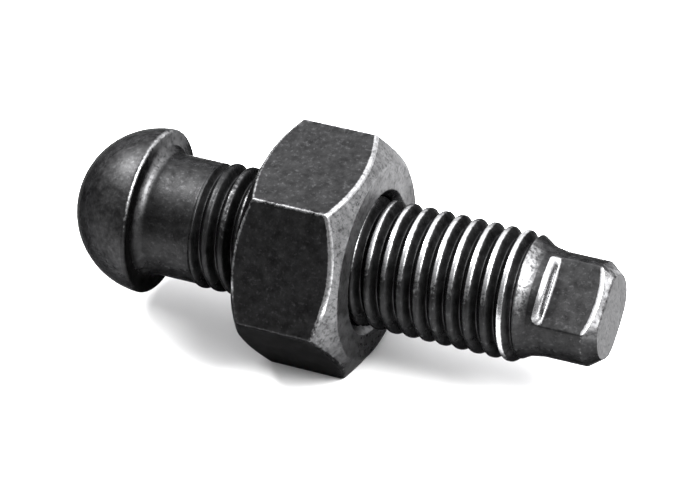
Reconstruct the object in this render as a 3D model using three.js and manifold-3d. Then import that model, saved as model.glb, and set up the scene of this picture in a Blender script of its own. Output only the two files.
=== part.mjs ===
// Height-adjusting screw of a quick change tool holder, with its hexagon lock nut.
//
// Millimetres. +X runs along the screw from the domed head to the flatted end, +Z is up, and
// the origin is on the axis, halfway along the screw. The nut has one flat facing down.

import * as THREE from 'three';
import { mergeVertices } from 'three/addons/utils/BufferGeometryUtils.js';
import Module from 'manifold-3d';

const wasm = await Module();
wasm.setup();

// ---- Driving dimensions ----

const screwLength = 41.6;

// Thread: 3/8 in, 20 threads per inch, right-hand, 60 degree flanks, blunt crests.
const pitch = 25.4 / 20;
const crestRadius = 9.52 / 2;
const rootRadius = 8.12 / 2;
const flankAngle = THREE.MathUtils.degToRad(60 / 2);
const crestHalfWidth = 0.15;
const crestAtX = 13.38; // where one crest crosses the +Y side of the screw
const threadStartX = -10.3;
const threadTaperX = 14.35; // where the crests start to taper to the end stock
const threadRise = 0.5; // the first crests climb to full height over this length
const overlap = 0.3; // how far joined solids run into each other

// Domed head and neck.
const ballRadius = 6.2;
const rimRounding = 0.3;
const neckRadius = 4.56;
const neckFillet = 0.8;
const neckTuck = 0.05; // how far the foot of the neck goes below the thread's roots

// Round end stock with two parallel wrench flats.
const stockRadius = 7.68 / 2;
const taperSlope = 0.62; // radius lost per millimetre of length
const taperBlend = 2.6; // radius of the hollow curve at the foot of the taper
const taperFill = 0.27; // depth of the cone that closes the last groove
const taperFillLength = 0.4;
const flatsAcross = 5.56;
const flatsLength = 4.05;
const flatsTurn = THREE.MathUtils.degToRad(29.1); // from a flat on top, towards -Y
const shoulderLean = 0.3; // length per millimetre of height that a flat's shoulder leans back
const tipRadius = 3.1;
const tipSlope = 1.35; // length lost per millimetre of radius

// Lock nut.
const nutAcross = 16;
const nutInnerX = -5.3; // face towards the head
const nutOuterX = 2.78;
const innerChamferRadius = 7.85;
const outerChamferRadius = 7.3;
const chamferAngle = THREE.MathUtils.degToRad(35);
const countersinkRadius = 5.4;
const boreRadius = 4.2; // crests of the internal thread
const threadClearance = 0.12;

// Facets round each turned surface.
const headFacets = 48;
const threadFacets = 24;
const chamferFacets = 60;
const arcSteps = 5;
const domeSteps = 10;

// ---- Derived dimensions ----

const endX = screwLength / 2;
const ballX = endX - screwLength + ballRadius; // ball centre, and the head's flat back face
const flatsX = endX - flatsLength;
const blendTangent = taperBlend * Math.tan(Math.atan(taperSlope) / 2);
const taperFootX = threadTaperX + (crestRadius - stockRadius) / taperSlope;
const blendStartX = taperFootX - blendTangent * Math.cos(Math.atan(taperSlope));
const blendStartRadius = taperRadiusAt(blendStartX);

function taperRadiusAt(x) {
  return crestRadius - (x - threadTaperX) * taperSlope;
}

// ---- Helpers ----

// A solid for joining and cutting, from any closed three.js geometry.
function solidFrom(geometry) {
  const bare = geometry.clone();
  bare.deleteAttribute('normal');
  bare.deleteAttribute('uv');
  const merged = mergeVertices(bare);
  return new wasm.Manifold(new wasm.Mesh({
    numProp: 3,
    vertProperties: new Float32Array(merged.attributes.position.array),
    triVerts: new Uint32Array(merged.index.array),
  }));
}

function geometryFrom(solid) {
  const mesh = solid.getMesh();
  const geometry = new THREE.BufferGeometry();
  geometry.setAttribute('position', new THREE.BufferAttribute(mesh.vertProperties, 3));
  geometry.setIndex(new THREE.BufferAttribute(mesh.triVerts, 1));
  geometry.computeVertexNormals();
  return geometry;
}

// Points [x, radius] along a round stretch of a turned outline.
function arc(centreX, centreRadius, radius, fromDegrees, toDegrees, steps = arcSteps) {
  const points = [];
  for (let i = 0; i <= steps; i++) {
    const angle = THREE.MathUtils.degToRad(fromDegrees + ((toDegrees - fromDegrees) * i) / steps);
    points.push([centreX + radius * Math.cos(angle), centreRadius + radius * Math.sin(angle)]);
  }
  return points;
}

// A solid turned about the X axis from [x, radius] points that run along +X.
function turned(outline, facets) {
  const points = outline.map(([x, radius]) => new THREE.Vector2(radius, x));
  const geometry = new THREE.LatheGeometry(points, facets);
  geometry.rotateZ(-Math.PI / 2);
  return solidFrom(geometry);
}

// A threaded rod with ragged ends, longer than the stretch it is wanted for. Its rows of
// points follow the helix, four to each pitch: both edges of the crest and both of the root.
function threadedRod(outerRadius, innerRadius, halfWidth, fromX, toX) {
  const flank = (outerRadius - innerRadius) * Math.tan(flankAngle);
  const profile = [
    [-halfWidth, outerRadius],
    [halfWidth, outerRadius],
    [halfWidth + flank, innerRadius],
    [pitch - halfWidth - flank, innerRadius],
  ];
  const firstX = crestAtX - Math.ceil((crestAtX - fromX) / pitch + 1) * pitch;
  const turns = Math.ceil((toX - firstX) / pitch);
  const perTurn = profile.length;
  const rows = turns * perTurn;

  const positions = [];
  const columns = [];
  for (let i = 0; i < threadFacets; i++) {
    const angle = (2 * Math.PI * i) / threadFacets;
    const last = i === 0 ? rows + perTurn : rows;
    columns.push(positions.length / 3);
    for (let j = 0; j <= last; j++) {
      const [offset, radius] = profile[j % perTurn];
      const x = firstX + offset + pitch * (Math.floor(j / perTurn) + i / threadFacets);
      positions.push(x, radius * Math.cos(angle), radius * Math.sin(angle));
    }
  }
  const startCentre = positions.length / 3;
  positions.push(firstX + pitch / 2, 0, 0);
  const endCentre = startCentre + 1;
  positions.push(firstX + (turns + 0.5) * pitch, 0, 0);

  // One turn further round is one pitch further along.
  const at = (i, j) => (i === threadFacets ? columns[0] + j + perTurn : columns[i] + j);
  const faces = [];
  for (let i = 0; i < threadFacets; i++) {
    for (let j = 0; j < rows; j++) {
      faces.push(at(i, j), at(i + 1, j), at(i + 1, j + 1));
      faces.push(at(i, j), at(i + 1, j + 1), at(i, j + 1));
    }
    faces.push(startCentre, at(i + 1, 0), at(i, 0));
    faces.push(endCentre, at(i, rows), at(i + 1, rows));
  }
  for (let j = 0; j < perTurn; j++) {
    faces.push(startCentre, at(0, j), at(0, j + 1));
    faces.push(endCentre, at(0, rows + j + 1), at(0, rows + j));
  }

  const geometry = new THREE.BufferGeometry();
  geometry.setAttribute('position', new THREE.Float32BufferAttribute(positions, 3));
  geometry.setIndex(faces);
  return solidFrom(geometry);
}

function blackedSteel(name, solid, colour, roughness) {
  const material = new THREE.MeshStandardMaterial({ color: colour, roughness, metalness: 0.85 });
  const mesh = new THREE.Mesh(geometryFrom(solid), material);
  mesh.name = name;
  return mesh;
}

// ---- Adjusting screw ----

// Half-ball head with a rounded rim, flat back face, fillet and plain neck. The neck runs
// down into the thread's first grooves as a cone.
function headAndNeck() {
  const rimX = ballX - rimRounding;
  const rimCentre = Math.sqrt((ballRadius - rimRounding) ** 2 - rimRounding ** 2);
  const tangent = THREE.MathUtils.radToDeg(Math.atan2(rimCentre, rimX - ballX));
  const runOut = neckRadius - rootRadius + neckTuck;
  const outline = [
    [ballX - ballRadius, 0],
    ...arc(ballX, 0, ballRadius, 180, tangent, domeSteps).slice(1),
    ...arc(rimX, rimCentre, rimRounding, tangent, 0).slice(1),
    ...arc(ballX + neckFillet, neckRadius + neckFillet, neckFillet, 180, 270),
    [threadStartX, neckRadius],
    [threadStartX + runOut, neckRadius - runOut],
    [threadStartX + runOut, 0],
  ];
  return turned(outline, headFacets);
}

// The thread between its run-outs: crests rise out of the neck, and taper off at the end.
function threadStretch() {
  const outline = [
    [threadStartX - overlap, 0],
    [threadStartX - overlap, crestRadius - threadRise],
    [threadStartX - overlap + threadRise, crestRadius],
    [threadTaperX, crestRadius],
    [blendStartX, blendStartRadius],
    [blendStartX + overlap, stockRadius - overlap],
    [blendStartX + overlap, 0],
  ];
  const rod = threadedRod(crestRadius, rootRadius, crestHalfWidth, threadStartX, blendStartX);
  return rod.intersect(turned(outline, threadFacets));
}

// Hollow curve and round stock past the thread, with a chamfered tip, before the flats.
function endStock() {
  const slopeDegrees = THREE.MathUtils.radToDeg(Math.atan(taperSlope));
  const blendX = taperFootX + blendTangent;
  const outline = [
    [blendStartX - taperFillLength, 0],
    [blendStartX - taperFillLength, blendStartRadius - taperFill],
    ...arc(blendX, stockRadius + taperBlend, taperBlend, 270 - slopeDegrees, 270),
    [endX - (stockRadius - tipRadius) * tipSlope, stockRadius],
    [endX, tipRadius],
    [endX, 0],
  ];
  return turned(outline, threadFacets);
}

// What the mill takes off outside one flat. The cutter's side leans, and so does the shoulder.
function flatCut(side) {
  const flat = flatsAcross / 2;
  const deep = stockRadius;
  const wide = 3 * stockRadius; // past both sides of the stock
  const outline = new THREE.Shape([
    new THREE.Vector2(flatsX, flat),
    new THREE.Vector2(endX + overlap, flat),
    new THREE.Vector2(endX + overlap, flat + deep),
    new THREE.Vector2(flatsX - deep * shoulderLean, flat + deep),
  ]);
  const cutter = new THREE.ExtrudeGeometry(outline, { depth: wide, bevelEnabled: false });
  cutter.translate(0, 0, -wide / 2);
  cutter.rotateX(Math.PI / 2 + flatsTurn + side * Math.PI);
  return solidFrom(cutter);
}

function adjustingScrew() {
  let solid = headAndNeck().add(threadStretch()).add(endStock());
  for (let side = 0; side < 2; side++) {
    solid = solid.subtract(flatCut(side));
  }
  return blackedSteel('adjusting_screw', solid, 0x333335, 0.42);
}

// ---- Lock nut ----

function hexagonBar() {
  const bar = new THREE.CylinderGeometry(1, 1, nutOuterX - nutInnerX, 6);
  const cornerRadius = nutAcross / 2 / Math.cos(Math.PI / 6);
  bar.scale(cornerRadius, 1, cornerRadius);
  bar.rotateZ(-Math.PI / 2);
  bar.rotateX(Math.PI / 2); // puts a flat on top
  bar.translate((nutInnerX + nutOuterX) / 2, 0, 0);
  return solidFrom(bar);
}

// Both ends of the hexagon are turned to a cone, more deeply on the outer face.
function chamferEnvelope() {
  const outside = nutAcross; // well past the corners
  const slope = Math.tan(chamferAngle);
  const outline = [
    [nutInnerX, 0],
    [nutInnerX, innerChamferRadius],
    [nutInnerX + (outside - innerChamferRadius) * slope, outside],
    [nutOuterX - (outside - outerChamferRadius) * slope, outside],
    [nutOuterX, outerChamferRadius],
    [nutOuterX, 0],
  ];
  return turned(outline, chamferFacets);
}

function countersink(faceX, outward) {
  const outline = [
    [faceX - outward * countersinkRadius, 0],
    [faceX + outward * overlap, countersinkRadius + overlap],
    [faceX + outward * overlap, 0],
  ];
  return turned(outward > 0 ? outline : outline.reverse(), threadFacets);
}

function lockNut() {
  // The tap is the screw's own thread, grown by the running clearance.
  const tapRadius = crestRadius + threadClearance;
  const widening = threadClearance / Math.cos(flankAngle);
  const tapHalfWidth = crestHalfWidth + widening - threadClearance * Math.tan(flankAngle);
  const tap = threadedRod(tapRadius, boreRadius, tapHalfWidth, nutInnerX - pitch, nutOuterX + pitch);
  const solid = hexagonBar()
    .intersect(chamferEnvelope())
    .subtract(tap)
    .subtract(countersink(nutInnerX, -1))
    .subtract(countersink(nutOuterX, 1));
  return blackedSteel('lock_nut', solid, 0x2c2c2e, 0.45);
}

// ---- Assembly ----

const assembly = new THREE.Group();
assembly.add(adjustingScrew());
assembly.add(lockNut());

export default assembly;
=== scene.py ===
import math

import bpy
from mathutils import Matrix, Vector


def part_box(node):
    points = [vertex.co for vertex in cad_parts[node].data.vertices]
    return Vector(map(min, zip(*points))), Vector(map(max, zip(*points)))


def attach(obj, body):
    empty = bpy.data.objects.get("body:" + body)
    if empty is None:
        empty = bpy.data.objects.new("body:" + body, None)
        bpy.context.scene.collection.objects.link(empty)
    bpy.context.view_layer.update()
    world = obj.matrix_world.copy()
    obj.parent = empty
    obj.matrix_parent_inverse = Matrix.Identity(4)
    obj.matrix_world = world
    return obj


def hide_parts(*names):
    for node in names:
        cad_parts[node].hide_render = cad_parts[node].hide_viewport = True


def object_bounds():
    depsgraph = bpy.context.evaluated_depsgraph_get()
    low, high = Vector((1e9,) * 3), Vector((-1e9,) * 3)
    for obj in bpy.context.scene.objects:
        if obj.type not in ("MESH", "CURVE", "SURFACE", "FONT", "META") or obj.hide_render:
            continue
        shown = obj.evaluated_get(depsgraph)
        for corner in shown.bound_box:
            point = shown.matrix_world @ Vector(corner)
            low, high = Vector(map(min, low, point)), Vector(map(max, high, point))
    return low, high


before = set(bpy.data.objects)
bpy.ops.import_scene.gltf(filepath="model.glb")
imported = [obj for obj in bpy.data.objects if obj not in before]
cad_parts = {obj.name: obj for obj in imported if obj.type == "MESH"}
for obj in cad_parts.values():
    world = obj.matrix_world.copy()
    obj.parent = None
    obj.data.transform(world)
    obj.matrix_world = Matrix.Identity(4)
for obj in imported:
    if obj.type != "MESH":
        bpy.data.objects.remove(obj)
cad_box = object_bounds()

# Height-adjusting screw of a quick change tool holder, with its hexagon lock nut, in black
# oxide steel. Blender works in metres. The outlines below are in millimetres, in the frame's
# axes: +X from the domed head to the flatted end, +Z up, and the screw's axis is the X axis.
# Every surface is a fan of columns round that axis. A column lists its points from one end
# of the outline to the other, and the points on a thread follow the thread's own helix.

MM = 0.001

# ---- Sizes ----

screw_low, screw_high = [Vector(corner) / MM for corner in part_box("adjusting_screw")]
nut_low, nut_high = [Vector(corner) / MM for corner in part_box("lock_nut")]

# Thread: 3/8 in, 20 threads per inch, right-hand, 60 degree flanks, blunt rounded crests.
PITCH = 25.4 / 20
CREST_RADIUS = 4.76
ROOT_RADIUS = 4.06
HALF_FLANK = math.radians(30)
CREST_HALF_WIDTH = 0.19
CREST_X = 13.38
POINTS_PER_PITCH = 20
THREAD_START_X = -10.3
TAPER_X = 14.35
TAPER_SLOPE = 0.62

# Domed head and neck.
BALL_RADIUS = 6.2
BALL_X = screw_low.x + BALL_RADIUS
RIM_ROUNDING = 0.3
NECK_RADIUS = 4.56
NECK_FILLET = 0.8

# End stock with two parallel flats.
END_X = screw_high.x
STOCK_RADIUS = 3.84
BLEND_RADIUS = 2.6
FLATS_ACROSS = 5.56
FLATS_X = END_X - 4.05
FLATS_TURN = 29.1
SHOULDER_LENGTH = 0.5
BLEND_LENGTH = 1.05
FOOT_DROP = 0.0005
TIP_BEVEL = 0.4
TIP_RADIUS = 3.1
TIP_SLOPE = 1.35

# Lock nut.
NUT_ACROSS = nut_high.z - nut_low.z
NUT_INNER_X = nut_low.x
NUT_OUTER_X = nut_high.x
NUT_INNER_CHAMFER = 7.85
NUT_OUTER_CHAMFER = 7.3
NUT_CHAMFER_SLOPE = math.tan(math.radians(35))
NUT_CORNER_ROUNDING = 0.22
COUNTERSINK_RADIUS = 5.4
SINK_LIP = 0.3
BORE_RADIUS = 4.2
THREAD_CLEARANCE = 0.12


# ---- Wear and painted light ----

# Where a surface has worn, and where painted highlights, light and shade go: (middle, full,
# fade) in degrees round the axis, for share_near.
# Angles go from +Y towards +Z, so 90 is the top and 180 is the -Y side.
# Painted highlight: the rim's worn edge shows only round the top.
RIM_WEAR_AND_HIGHLIGHT = (100, 32, 35)
# Painted light on the head's back face, and a painted highlight on its fillet, round the top.
BACK_FACE_PAINTED_LIGHT = (60, 25, 30)
FILLET_HIGHLIGHT = (100, 30, 30)
# Painted highlight: the crests are brightest round the top, towards the front.
CREST_HIGHLIGHT = (102, 28, 26)
# Painted highlight on the lead cone, round the top.
CONE_HIGHLIGHT = (112, 28, 28)
# Painted light: the end's chamfer is bare round the upper side, and its upper facet lighter still.
TIP_BARE_AND_LIGHT = (95, 66, 12)
TIP_FACET_LIGHT = (58, 18, 14)
# Nut corners and edges: real wear, with a painted highlight along the top.
NUT_CORNER_WEAR_AND_HIGHLIGHT = (90, 50, 60)
NUT_EDGE_WEAR_AND_HIGHLIGHT = (90, 55, 40)
# Painted glint on the outer chamfer near the lower front corner.
NUT_GLINT = (165, 2, 3)
# The nut's outer face is bare metal, lighter at the top with painted shade towards the bottom.
NUT_FACE_BARE_AND_LIGHT = (90, 50, 90)
NUT_SINK_BARE = (225, 50, 30)

# The painted highlight on the last full crest reaches further round than on the others, and further
# to the front.
LAST_CREST_X = 13.2
LAST_CREST_HIGHLIGHT_TURN = 25
LAST_CREST_HIGHLIGHT_SPREAD = 35

DOME_BARE = 0.15
CONE_WEAR_AND_HIGHLIGHT = 0.6


# ---- Outlines ----

def smooth_min(a, b, width):
    """The smaller of two numbers, rounded where they are within width of each other."""
    near = max(width - abs(a - b), 0) / width
    return min(a, b) - near * near * width / 4


def smooth_max(a, b, width):
    return -smooth_min(-a, -b, width)


def clamp(value):
    return max(0.0, min(1.0, value))


def share_near(angle, centre, full, fade):
    """1 out to full degrees on each side of a centre angle, then fading to 0."""
    away = abs((math.degrees(angle) - centre + 180) % 360 - 180)
    return 1 - clamp((away - full) / fade)


def rounded(corners, guard=0.25, steps=5):
    """An outline through corners (x, radius, rounding, wear), with each corner rounded.

    Returns points (row, x, radius, wear), where a corner has the same rows in every column.
    The wear is real wear together with painted highlight. A rounded corner gets the amount
    given, which ends at a guard point on each side of it, unless the next corner is a plain
    point with no rounding, whose own amount it runs on into."""
    points = []
    for k, (x, radius, rounding, wear_and_highlight) in enumerate(corners):
        row = k * (steps + 3)
        here = Vector((x, radius))
        if k in (0, len(corners) - 1):
            points.append((row, x, radius, wear_and_highlight))
            continue
        back = Vector(corners[k - 1][:2]) - here
        ahead = Vector(corners[k + 1][:2]) - here
        turn = math.pi - back.angle(ahead)
        if turn < 0.01:
            points.append((row, x, radius, wear_and_highlight))
            continue
        reach = rounding * math.tan(turn / 2)
        reach_back = min(reach, 0.45 * back.length)
        reach_ahead = min(reach, 0.45 * ahead.length)
        enter = here + back.normalized() * reach_back
        leave = here + ahead.normalized() * reach_ahead
        before = here + back.normalized() * min(reach + guard, 0.49 * back.length)
        after = here + ahead.normalized() * min(reach + guard, 0.49 * ahead.length)
        wear_and_highlight_before, wear_and_highlight_after = [
            near[3] if near[2] == 0 else 0 for near in (corners[k - 1], corners[k + 1])
        ]
        points.append((row, *before, wear_and_highlight_before))
        for step in range(steps + 1):
            t = step / steps
            spot = enter.lerp(here, t).lerp(here.lerp(leave, t), t)
            points.append((row + 1 + step, *spot, wear_and_highlight))
        points.append((row + steps + 2, *after, wear_and_highlight_after))
    return points


def thread_height(along):
    """The thread's radius at a distance along the axis from the middle of a crest."""
    along = abs((along + PITCH / 2) % PITCH - PITCH / 2)
    flank = CREST_RADIUS - (along - CREST_HALF_WIDTH) / math.tan(HALF_FLANK)
    return smooth_max(smooth_min(flank, CREST_RADIUS, 0.25), ROOT_RADIUS, 0.16)


def helix_points(angle, low_x, high_x):
    """(index, x) of the points of a column that lie on the thread's helix lines."""
    spacing = PITCH / POINTS_PER_PITCH
    shift = CREST_X + PITCH * angle / (2 * math.pi)
    first = math.ceil((low_x + spacing / 4 - shift) / spacing)
    last = math.floor((high_x - spacing / 4 - shift) / spacing)
    return [(index, shift + index * spacing) for index in range(first, last + 1)]


# ---- Columns into a mesh ----

# Keys start with the number of their section of the outline, so these two sort last.
CLOSING_KEY = (9, 0)
PAST_END = (10,)
FLAT_SHADED = 0.999


def mesh_from_columns(name, angles, columns, closed):
    """Joins neighbouring columns of (key, x, radius, wear, bareness) points, whose wear and
    bareness carry painted highlights, light and shade as well as real wear and bare metal.

    Points with the same key are joined across, and a point whose key its neighbour lacks
    gets a triangle. A closed outline also joins its last point to its first. Points on the
    axis are shared. The faces square to the axis are shaded flat, and the rest smooth."""
    positions, wear_and_highlight, bare_and_light = [], [], []
    poles = {}
    indexed = []
    for angle, column in zip(angles, columns):
        strip = []
        for key, x, radius, point_wear_and_highlight, point_bare_and_light in column:
            if radius == 0 and key in poles:
                strip.append((key, poles[key]))
                continue
            if radius == 0:
                poles[key] = len(positions)
            strip.append((key, len(positions)))
            positions.append((x * MM, radius * math.cos(angle) * MM, radius * math.sin(angle) * MM))
            wear_and_highlight.append(point_wear_and_highlight)
            bare_and_light.append(point_bare_and_light)
        if closed:
            strip.append((CLOSING_KEY, strip[0][1]))
        indexed.append(strip)

    faces = []
    for i, left in enumerate(indexed):
        right = indexed[(i + 1) % len(indexed)]
        if i == len(indexed) - 1:
            right = [(one_turn_on(key), point) for key, point in right]
        faces += zip_strips(left, right)

    mesh = bpy.data.meshes.new(name)
    mesh.from_pydata(positions, [], faces)
    # Point attributes: the first holds real wear together with painted highlights, the second bare
    # metal together with painted light and shade.
    for attribute, values in (("wear_and_highlight", wear_and_highlight), ("bare_and_light", bare_and_light)):
        layer = mesh.attributes.new(attribute, "FLOAT", "POINT")
        layer.data.foreach_set("value", values)
    mesh.shade_smooth()
    for face in mesh.polygons:
        if abs(face.normal.x) > FLAT_SHADED:
            face.use_smooth = False
    mesh.validate()
    piece = bpy.data.objects.new(name, mesh)
    bpy.context.scene.collection.objects.link(piece)
    return piece


def one_turn_on(key):
    """The key that a helix point has when its column is met again after a whole turn."""
    if len(key) < 3:
        return key
    section, index, points_per_pitch = key
    return section, index - points_per_pitch, points_per_pitch


def zip_strips(left, right):
    """The faces between two strips of (key, point), taken in the order of their keys."""
    faces = []
    j = k = 0
    while j < len(left) - 1 or k < len(right) - 1:
        next_left = left[j + 1][0] if j < len(left) - 1 else PAST_END
        next_right = right[k + 1][0] if k < len(right) - 1 else PAST_END
        corners = [left[j][1], right[k][1]]
        if next_right <= next_left:
            k += 1
            corners.append(right[k][1])
        if next_left <= next_right:
            j += 1
            corners.append(left[j][1])
        corners = list(dict.fromkeys(corners))
        if len(corners) > 2:
            faces.append(corners)
    return faces


def keyed(section, points):
    """Gives the points of a plain stretch of outline their keys."""
    return [((section, row), *point) for row, point in enumerate(points)]


# ---- Screw ----

TAPER_FOOT_X = TAPER_X + (CREST_RADIUS - STOCK_RADIUS) / TAPER_SLOPE
BLEND_REACH = BLEND_RADIUS * math.tan(math.atan(TAPER_SLOPE) / 2)
BLEND_START_X = TAPER_FOOT_X - BLEND_REACH * math.cos(math.atan(TAPER_SLOPE))
BLEND_END_X = TAPER_FOOT_X + BLEND_REACH
THREAD_LOW_X = THREAD_START_X - 0.5
THREAD_HIGH_X = 15.0


def taper_radius(x):
    """The envelope past the full thread: cone, hollow curve, then round stock."""
    if x > BLEND_END_X:
        return STOCK_RADIUS
    if x > BLEND_START_X:
        drop = math.sqrt(BLEND_RADIUS**2 - (BLEND_END_X - x) ** 2)
        return STOCK_RADIUS + BLEND_RADIUS - drop
    return smooth_min(CREST_RADIUS, CREST_RADIUS - (x - TAPER_X) * TAPER_SLOPE, 0.1)


def screw_thread_radius(x, angle):
    """The thread, cut off by the taper and filled in where it runs out at each end."""
    height = thread_height(x - CREST_X - PITCH * angle / (2 * math.pi))
    rise = NECK_RADIUS + (x - THREAD_START_X) * 0.7
    height = smooth_min(height, min(rise, taper_radius(x)), 0.06)
    neck_run_out = NECK_RADIUS - (x - THREAD_START_X)
    end_run_out = taper_radius(THREAD_HIGH_X) - (THREAD_HIGH_X - x) * 0.9
    return smooth_max(height, max(min(neck_run_out, NECK_RADIUS), end_run_out), 0.06)


def head_outline():
    """Half-ball head, rounded rim, flat back, fillet and plain neck."""
    rim_x = BALL_X - RIM_ROUNDING
    rim_centre = math.sqrt((BALL_RADIUS - RIM_ROUNDING) ** 2 - RIM_ROUNDING**2)
    tangent = math.atan2(rim_centre, rim_x - BALL_X)
    points = [(BALL_X - BALL_RADIUS, 0, 0)]
    for step in range(1, 41):
        angle = math.pi + (tangent - math.pi) * step / 40
        points.append((BALL_X + BALL_RADIUS * math.cos(angle), BALL_RADIUS * math.sin(angle), 0))
    for step in range(1, 11):
        angle = tangent * (1 - step / 10)
        x = rim_x + RIM_ROUNDING * math.cos(angle)
        wear_and_highlight = 0.8 * math.sin(math.pi * step / 10)
        points.append((x, rim_centre + RIM_ROUNDING * math.sin(angle), wear_and_highlight))
    for step in range(11):
        angle = math.pi * (1 + step / 20)
        x = BALL_X + NECK_FILLET * (1 + math.cos(angle))
        points.append((x, NECK_RADIUS + NECK_FILLET * (1 + math.sin(angle)), 0))
    neck_from = BALL_X + NECK_FILLET
    for step in range(1, 9):
        x = neck_from + (THREAD_LOW_X - neck_from) * step / 8
        points.append((x, NECK_RADIUS, 0))
    return points


def flatted_radius(angle):
    """The round stock with two flats milled on it, and slightly rounded edges."""
    turned = math.degrees(angle) - 90 - FLATS_TURN
    off_flat = math.radians((turned + 90) % 180 - 90)
    return smooth_min(FLATS_ACROSS / 2 / max(math.cos(off_flat), 0.01), STOCK_RADIUS, 0.06)


def blend_outline():
    """The last of the cone and the hollow curve, up to just before the flats' shoulder."""
    points = []
    for step in range(13):
        x = THREAD_HIGH_X + (FLATS_X - BLEND_LENGTH - 0.05 - THREAD_HIGH_X) * step / 12
        points.append((x, taper_radius(x)))
    return points


def tip_bevel(angle):
    """How far the end of a flat is beaten down: more on the upper flat than the lower."""
    return 0.1 + (TIP_BEVEL - 0.1) * share_near(angle, 90 + FLATS_TURN, 60, 40)


def tip_length(angle):
    """Length of the chamfer, which curves back from the middle of a flat to its sides."""
    flat, half = flatted_radius(angle), FLATS_ACROSS / 2
    aside = clamp((flat**2 - half**2) / (STOCK_RADIUS**2 - half**2))
    short = TIP_SLOPE * tip_bevel(angle)
    return short + aside * (TIP_SLOPE * (STOCK_RADIUS - TIP_RADIUS) - short)


def end_outline(angle):
    """From the hollow curve to the axis: shoulder, flat or round stock, chamfer, end face."""
    flat = flatted_radius(angle)
    step = STOCK_RADIUS - flat
    share = clamp(step / 0.12)
    tip = smooth_min(TIP_RADIUS, flat - tip_bevel(angle), 0.25)
    chamfer_x = END_X - tip_length(angle)
    blend_x = FLATS_X - BLEND_LENGTH
    # The shoulder is shorter where the step is deeper, at the middle of a flat.
    top_x = FLATS_X - 0.1 - (SHOULDER_LENGTH - 0.1 - 0.37 * step) * share
    top = taper_radius(top_x)
    worn_end, dark_start = [
        (top_x + part * (FLATS_X - top_x), top + part * (flat - top)) for part in (0.82, 0.9)
    ]
    return rounded([
        (blend_x, taper_radius(blend_x), 0, 0),
        (top_x, top, 0.03 + 0.9 * share, share),
        (*worn_end, 0, share),
        (*dark_start, 0, 0),
        # Painted highlight: a bright line along the foot of the shoulder, where the hollow corner
        # catches the light.
        (FLATS_X, flat - FOOT_DROP, 0.03 + 0.1 * share, 0.9 * share),
        (chamfer_x, flat, 0.08 + 0.3 * share, 0.4 + 0.6 * share),
        (END_X, tip, 0.08 + 0.25 * share, 0.3),
        (END_X, 0, 0, 0),
    ], guard=0.12)


def crest_wear_and_highlight(angle, x, radius):
    """Wear of a thread's crest, with a painted highlight round the top: less towards the neck, and
    none on the cone.
    """
    middle, full, fade = CREST_HIGHLIGHT
    last = clamp((x - LAST_CREST_X) / 0.2)
    place = (middle + LAST_CREST_HIGHLIGHT_TURN * last, full + LAST_CREST_HIGHLIGHT_SPREAD * last, fade)
    below_top = min(taper_radius(x), CREST_RADIUS) - radius
    wear_and_highlight = clamp((0.1 - below_top) / 0.07) * (0.25 + 0.75 * share_near(angle, *place))
    wear_and_highlight *= 1 - clamp((x - TAPER_X) / 0.1)
    return wear_and_highlight * clamp((x - THREAD_START_X) / 2) * (0.45 + 0.55 * clamp((x + 5) / 3))


def screw_column(angle):
    """One column of the screw. Crests and edges are worn, with painted highlights along the front
    of the top, and the head's back face and fillet carry painted light at the top.
    """
    cone_highlight = share_near(angle, *CONE_HIGHLIGHT)
    points = []
    for key, x, radius, wear_and_highlight in keyed(0, head_outline()):
        if x < BALL_X - RIM_ROUNDING:
            bare_and_light = DOME_BARE
        # Painted light: the back face and fillet are lighter round the top.
        elif x < BALL_X + 0.05:
            bare_and_light = 0.7 * share_near(angle, *BACK_FACE_PAINTED_LIGHT)
        else:
            on_fillet = clamp((radius - NECK_RADIUS) / 0.05)
            bare_and_light = 0.9 * on_fillet * share_near(angle, *FILLET_HIGHLIGHT)
        # The rim's wear is limited to the top, a painted highlight.
        points.append((key, x, radius, wear_and_highlight * share_near(angle, *RIM_WEAR_AND_HIGHLIGHT), bare_and_light))
    for index, x in helix_points(angle, THREAD_LOW_X, THREAD_HIGH_X):
        radius = screw_thread_radius(x, angle)
        # Painted highlight: the cone is worn and bare only round the top.
        on_cone = clamp((x - TAPER_X) / 0.2) * cone_highlight
        wear_and_highlight = max(crest_wear_and_highlight(angle, x, radius), CONE_WEAR_AND_HIGHLIGHT * on_cone)
        points.append(((1, index, POINTS_PER_PITCH), x, radius, wear_and_highlight, on_cone))
    for key, x, radius in keyed(2, blend_outline()):
        on_cone = clamp(1 - (x - BLEND_START_X) / 0.8) * cone_highlight
        points.append((key, x, radius, CONE_WEAR_AND_HIGHLIGHT * on_cone, on_cone))
    flat_end = END_X - tip_length(angle)
    for row, x, radius, wear_and_highlight in end_outline(angle):
        # Painted light: the chamfer is bare and lighter only round the upper side.
        on_tip = clamp((x - flat_end) / 0.2) * share_near(angle, *TIP_BARE_AND_LIGHT)
        on_end_face = x >= END_X - 0.02
        if not on_end_face:
            wear_and_highlight = max(wear_and_highlight, 0.6 * on_tip * share_near(angle, *TIP_FACET_LIGHT))
        points.append(((3, row), x, radius, wear_and_highlight, 1 if on_end_face else on_tip))
    return points


def screw_angles():
    """Evenly spaced, and closer where a flat meets the round stock."""
    edge = math.degrees(math.acos(FLATS_ACROSS / 2 / STOCK_RADIUS))
    half = [edge * k / 12 for k in range(12)]
    half += [edge - 1.2, edge - 0.4, edge + 0.4, edge + 1.2]
    half += [edge + (90 - edge) * k / 11 for k in range(1, 11)]
    offsets = sorted(half + [-h for h in half if h > 0] + [90])
    return sorted(math.radians((90 + FLATS_TURN + 180 * side + off) % 360)
                  for side in range(2) for off in offsets)


def make_screw():
    angles = screw_angles()
    columns = [screw_column(angle) for angle in angles]
    return mesh_from_columns("height_screw", angles, columns, closed=False)


# ---- Nut ----

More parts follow.
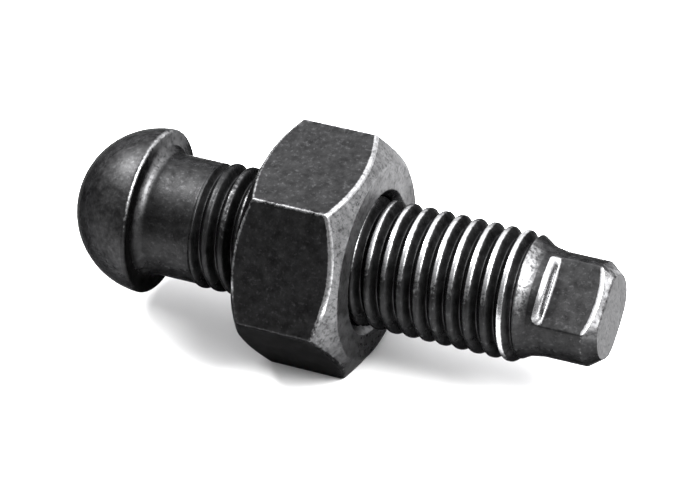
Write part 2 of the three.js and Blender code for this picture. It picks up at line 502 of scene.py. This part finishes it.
def degrees_off_flat(angle):
    """How far an angle is from the middle of the nearest of the nut's flats."""
    return math.degrees(angle) % 60 - 30


def hexagon_radius(angle):
    """Distance out to a flat, or to a corner's rounding."""
    across = NUT_ACROSS / 2
    off_flat = math.radians(degrees_off_flat(angle))
    off_corner = math.radians(30) - abs(off_flat)
    centre = (across - NUT_CORNER_ROUNDING) / math.cos(math.radians(30))
    edge = math.atan2(
        NUT_CORNER_ROUNDING * math.sin(math.radians(30)),
        centre + NUT_CORNER_ROUNDING * math.cos(math.radians(30)),
    )
    if off_corner < edge:
        sideways = centre * math.sin(off_corner)
        return centre * math.cos(off_corner) + math.sqrt(NUT_CORNER_ROUNDING**2 - sideways**2)
    return across / math.cos(off_flat)


def bore_radius(x, angle):
    """The internal thread, opened out by a countersink at each face."""
    height = thread_height(x - CREST_X - PITCH * angle / (2 * math.pi)) + THREAD_CLEARANCE
    sink = COUNTERSINK_RADIUS - min(x - NUT_INNER_X, NUT_OUTER_X - x)
    return max(height, BORE_RADIUS, sink)


def nut_column(angle):
    """One column of the nut: its outside from face to face, then back through the bore."""
    across = hexagon_radius(angle)
    from_corner = 30 - abs(degrees_off_flat(angle))
    # Corners and edges are worn, with a painted highlight along the top.
    corner_wear_and_highlight = clamp(1.5 - from_corner) * (0.15 + 0.5 * share_near(angle, *NUT_CORNER_WEAR_AND_HIGHLIGHT))
    edge_wear_and_highlight = 0.35 + 0.5 * share_near(angle, *NUT_EDGE_WEAR_AND_HIGHLIGHT)
    # Painted glint: a small bright spot on the outer chamfer.
    edge_wear_and_highlight += 0.5 * share_near(angle, *NUT_GLINT)
    # Painted light and shade: the bare outer face is lighter at the top and darker towards the
    # bottom.
    face_bare_and_light = 0.42 + 0.58 * share_near(angle, *NUT_FACE_BARE_AND_LIGHT)
    sink_bare = 0.25 + 0.65 * share_near(angle, *NUT_SINK_BARE)
    inner = smooth_max(0.1, across - NUT_INNER_CHAMFER, 0.2)
    outer = across - NUT_OUTER_CHAMFER
    flat_end = NUT_OUTER_X - outer * NUT_CHAMFER_SLOPE
    outline = rounded([
        (NUT_INNER_X + SINK_LIP, COUNTERSINK_RADIUS - SINK_LIP, 0, 0),
        (NUT_INNER_X, COUNTERSINK_RADIUS, 0.08, 0.6),
        (NUT_INNER_X, across - inner, 0.08, 0.5),
        (NUT_INNER_X + inner * NUT_CHAMFER_SLOPE, across, 0.2, 0.7 * edge_wear_and_highlight),
        (flat_end, across, 0.36, edge_wear_and_highlight),
        (NUT_OUTER_X, across - outer, 0.3, 0.3),
        (NUT_OUTER_X, COUNTERSINK_RADIUS, 0.08, 0.3),
        (NUT_OUTER_X - SINK_LIP, COUNTERSINK_RADIUS - SINK_LIP, 0, 0),
    ], guard=0.15)
    points = []
    for row, x, radius, wear_and_highlight in outline:
        if radius > across - 0.05:
            wear_and_highlight = max(wear_and_highlight, corner_wear_and_highlight)
        on_face = clamp((x - flat_end) / 0.15)
        in_sink = clamp((COUNTERSINK_RADIUS + 0.05 - radius) / 0.1)
        bare_and_light = on_face * (face_bare_and_light + (sink_bare - face_bare_and_light) * in_sink)
        points.append(((0, row), x, radius, wear_and_highlight, bare_and_light))
    bore = helix_points(angle, NUT_INNER_X + SINK_LIP, NUT_OUTER_X - SINK_LIP)
    for index, x in reversed(bore):
        key = (1, -index, -POINTS_PER_PITCH)
        bare_and_light = sink_bare if x > NUT_OUTER_X - 0.55 else 0
        points.append((key, x, bore_radius(x, angle), 0, bare_and_light))
    return points


def nut_angles():
    offsets = [0, 0.35, 0.7, 1.1, 1.6] + [3 * k for k in range(1, 10)]
    offsets = sorted([-o for o in offsets if o > 0] + offsets + [30])
    return sorted(math.radians((60 * side + off) % 360) for side in range(6) for off in offsets)


def make_nut():
    angles = nut_angles()
    columns = [nut_column(angle) for angle in angles]
    return mesh_from_columns("hex_lock_nut", angles, columns, closed=True)


# ---- Materials ----

def node(tree, kind, **settings):
    made = tree.nodes.new(kind)
    for name, value in settings.items():
        setattr(made, name, value)
    return made


def noise(tree, coords, scale, detail=4, roughness=0.6):
    made = node(tree, "ShaderNodeTexNoise")
    made.inputs["Scale"].default_value = scale
    made.inputs["Detail"].default_value = detail
    made.inputs["Roughness"].default_value = roughness
    tree.links.new(coords, made.inputs["Vector"])
    return made.outputs["Fac"]


def ramp(tree, value, stops):
    """A colour ramp from grey levels: stops are (place, grey)."""
    made = node(tree, "ShaderNodeValToRGB")
    elements = made.color_ramp.elements
    while len(elements) < len(stops):
        elements.new(0.5)
    for element, (place, grey) in zip(elements, stops):
        element.position = place
        element.color = (grey, grey, grey * 1.01, 1)
    tree.links.new(value, made.inputs["Fac"])
    return made.outputs["Color"]


def maths(tree, operation, *values, limited=False):
    """A maths node. limited keeps its result between 0 and 1."""
    made = node(tree, "ShaderNodeMath", operation=operation, use_clamp=limited)
    for socket, value in zip(made.inputs, values):
        if isinstance(value, (int, float)):
            socket.default_value = value
        else:
            tree.links.new(value, socket)
    return made.outputs[0]


def mix_colour(tree, factor, a, b, blend="MIX"):
    made = node(tree, "ShaderNodeMix", data_type="RGBA", blend_type=blend)
    for name, value in (("Factor", factor), ("A", a), ("B", b)):
        sockets = [s for s in made.inputs if s.name == name and s.enabled]
        if isinstance(value, (int, float, tuple)):
            sockets[0].default_value = value
        else:
            tree.links.new(value, sockets[0])
    return [s for s in made.outputs if s.enabled][0]


def stretched(tree, coords, scale):
    made = node(tree, "ShaderNodeMapping")
    made.inputs["Scale"].default_value = scale
    tree.links.new(coords, made.inputs["Vector"])
    return made.outputs["Vector"]


def blacked_steel(name, dark, bare_grey, ring_strength):
    """Black oxide over steel: mottled black, fine grain, bright metal where it has worn or carries
    painted highlights and light, and painted shade on surfaces facing the front and down.
    """
    material = bpy.data.materials.new(name)
    material.use_nodes = True
    tree = material.node_tree
    shader = tree.nodes["Principled BSDF"]
    shader.inputs["Metallic"].default_value = 1.0
    source = node(tree, "ShaderNodeTexCoord")
    coords = source.outputs["Object"]
    wear_and_highlight = node(tree, "ShaderNodeAttribute", attribute_name="wear_and_highlight").outputs["Fac"]
    bare_and_light = node(tree, "ShaderNodeAttribute", attribute_name="bare_and_light").outputs["Fac"]

    mottle = noise(tree, coords, 1300, 5, 0.72)
    grain = noise(tree, coords, 3800, 4, 0.65)
    fine = noise(tree, coords, 9000, 3, 0.6)

    black = ramp(tree, mottle, [(0.3, dark * 0.6), (0.7, dark * 1.5)])
    specks = ramp(tree, grain, [(0.55, 0), (0.75, 1)])
    black = mix_colour(tree, maths(tree, "MULTIPLY", specks, 0.4), black, (0.1, 0.1, 0.102, 1))

    # Painted shade: the black is darker on surfaces facing the front and down, lightest facing up.
    facing = node(tree, "ShaderNodeVectorMath", operation="DOT_PRODUCT")
    tree.links.new(source.outputs["Normal"], facing.inputs[0])
    facing.inputs[1].default_value = (0, 0.35, 0.94)
    facing = maths(tree, "MULTIPLY_ADD", facing.outputs["Value"], 0.5, 0.5)
    facing_shade = ramp(tree, facing, [(0.1, 0.75), (0.55, 0.5), (0.95, 1.0)])
    black = mix_colour(tree, 1.0, black, facing_shade, "MULTIPLY")

    rubbed = ramp(tree, mottle, [(0.3, bare_grey * 0.6), (0.7, bare_grey * 1.4)])
    pits = ramp(tree, grain, [(0.34, 0.35), (0.52, 1)])
    rubbed = mix_colour(tree, 1.0, rubbed, pits, "MULTIPLY")
    body = mix_colour(tree, bare_and_light, black, rubbed)

    broken = maths(tree, "MULTIPLY", maths(tree, "SUBTRACT", grain, 0.5), 2.2)
    broken = maths(tree, "ADD", broken, maths(tree, "SUBTRACT", mottle, 0.5))
    edge = maths(tree, "ADD", maths(tree, "MULTIPLY", wear_and_highlight, 1.5), broken)
    edge = maths(tree, "SUBTRACT", edge, 0.58, limited=True)
    edge = maths(tree, "MULTIPLY", edge, wear_and_highlight, limited=True)
    colour = mix_colour(tree, edge, body, (0.34, 0.34, 0.345, 1))
    tree.links.new(colour, shader.inputs["Base Color"])
    bright = maths(tree, "MAXIMUM", edge, bare_and_light)
    sheen = mix_colour(tree, bright, (0.25, 0.25, 0.25, 1), (0.5, 0.5, 0.5, 1))
    tree.links.new(sheen, shader.inputs["Specular Tint"])

    rough = ramp(tree, mottle, [(0.25, 0.38), (0.75, 0.52)])
    rough = mix_colour(tree, edge, rough, (0.26, 0.26, 0.26, 1))
    tree.links.new(rough, shader.inputs["Roughness"])

    rings = noise(tree, stretched(tree, coords, (9000, 120, 120)), 1, 3, 0.5)
    relief = maths(tree, "ADD", maths(tree, "MULTIPLY", rings, ring_strength), grain)
    relief = maths(tree, "ADD", relief, maths(tree, "MULTIPLY", fine, 0.5))
    bump = node(tree, "ShaderNodeBump")
    bump.inputs["Strength"].default_value = 0.4
    bump.inputs["Distance"].default_value = 0.00002
    tree.links.new(relief, bump.inputs["Height"])
    tree.links.new(bump.outputs["Normal"], shader.inputs["Normal"])
    return material


def pale_floor_material():
    material = bpy.data.materials.new("pale_floor")
    material.use_nodes = True
    shader = material.node_tree.nodes["Principled BSDF"]
    shader.inputs["Base Color"].default_value = (0.9, 0.9, 0.9, 1)
    shader.inputs["Roughness"].default_value = 0.8
    return material


# ---- Stage ----

def add_floor():
    """A square floor, 6 m across, under the lowest point of the object."""
    half = 3.0
    z = cad_box[0][2]
    mesh = bpy.data.meshes.new("floor")
    corners = [(-half, -half, z), (half, -half, z), (half, half, z), (-half, half, z)]
    mesh.from_pydata(corners, [], [(0, 1, 2, 3)])
    floor = bpy.data.objects.new("floor", mesh)
    bpy.context.scene.collection.objects.link(floor)
    floor.data.materials.append(pale_floor_material())


def direction(azimuth, elevation):
    """Unit vector from the object towards a viewer: azimuth 0 is on the -Y side."""
    a, e = math.radians(azimuth), math.radians(elevation)
    return Vector((math.sin(a) * math.cos(e), -math.cos(a) * math.cos(e), math.sin(e)))


def add_area_light(name, towards, distance, size, power):
    data = bpy.data.lights.new(name, "AREA")
    data.shape = "RECTANGLE"
    data.size, data.size_y = size
    data.energy = power
    light = bpy.data.objects.new(name, data)
    light.location = towards * distance
    light.rotation_euler = towards.to_track_quat("Z", "Y").to_euler()
    bpy.context.scene.collection.objects.link(light)


def add_studio_world():
    """A bright overhead cap that leans to the back, and dimmer walls on the camera's side."""
    world = bpy.data.worlds.new("studio")
    world.use_nodes = True
    tree = world.node_tree
    towards = node(tree, "ShaderNodeTexCoord").outputs["Generated"]
    height = node(tree, "ShaderNodeVectorMath", operation="DOT_PRODUCT")
    tree.links.new(towards, height.inputs[0])
    height.inputs[1].default_value = (0, 0.6, 0.8)
    share = maths(tree, "MULTIPLY_ADD", height.outputs["Value"], 0.5, 0.5)
    strength = ramp(tree, share, [(0.3, 0.07), (0.56, 0.12), (0.8, 0.36), (0.95, 1.0)])
    background = tree.nodes["Background"]
    tree.links.new(strength, background.inputs["Color"])
    background.inputs["Strength"].default_value = 4.4
    bpy.context.scene.world = world


def add_lights():
    """A large softbox on the right, a small one on the left, and the studio's walls."""
    add_area_light("right_softbox", Vector((0.62, -0.05, 0.78)).normalized(), 0.4, (0.26, 0.2), 6.0)
    add_area_light("left_softbox", Vector((-0.62, 0.15, 0.77)).normalized(), 0.4, (0.1, 0.1), 3.2)
    add_studio_world()
    bpy.context.scene.view_settings.view_transform = "Standard"


CAMERA_DISTANCE = 0.2663


def add_camera():
    """A long lens from above and to the right, tipped a little clockwise."""
    back = direction(26.58, 41.94)
    aim = Vector((0.53, 0.27, 0.31)) * MM
    data = bpy.data.cameras.new("camera")
    data.lens = 188.9
    data.sensor_width = 36
    camera = bpy.data.objects.new("camera", data)
    tilt = Matrix.Rotation(math.radians(-5.38), 4, "Z")
    facing = back.to_track_quat("Z", "Y").to_matrix().to_4x4()
    camera.matrix_world = Matrix.Translation(aim + back * CAMERA_DISTANCE) @ facing @ tilt
    bpy.context.scene.collection.objects.link(camera)
    bpy.context.scene.camera = camera


# ---- Build ----

add_floor()
add_lights()
add_camera()

screw = make_screw()
screw.data.materials.append(blacked_steel("screw_black", 0.0215, 0.062, 0.9))
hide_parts("adjusting_screw")
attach(screw, "screw")

nut = make_nut()
nut.data.materials.append(blacked_steel("nut_black", 0.0195, 0.095, 0.0))
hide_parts("lock_nut")
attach(nut, "nut")
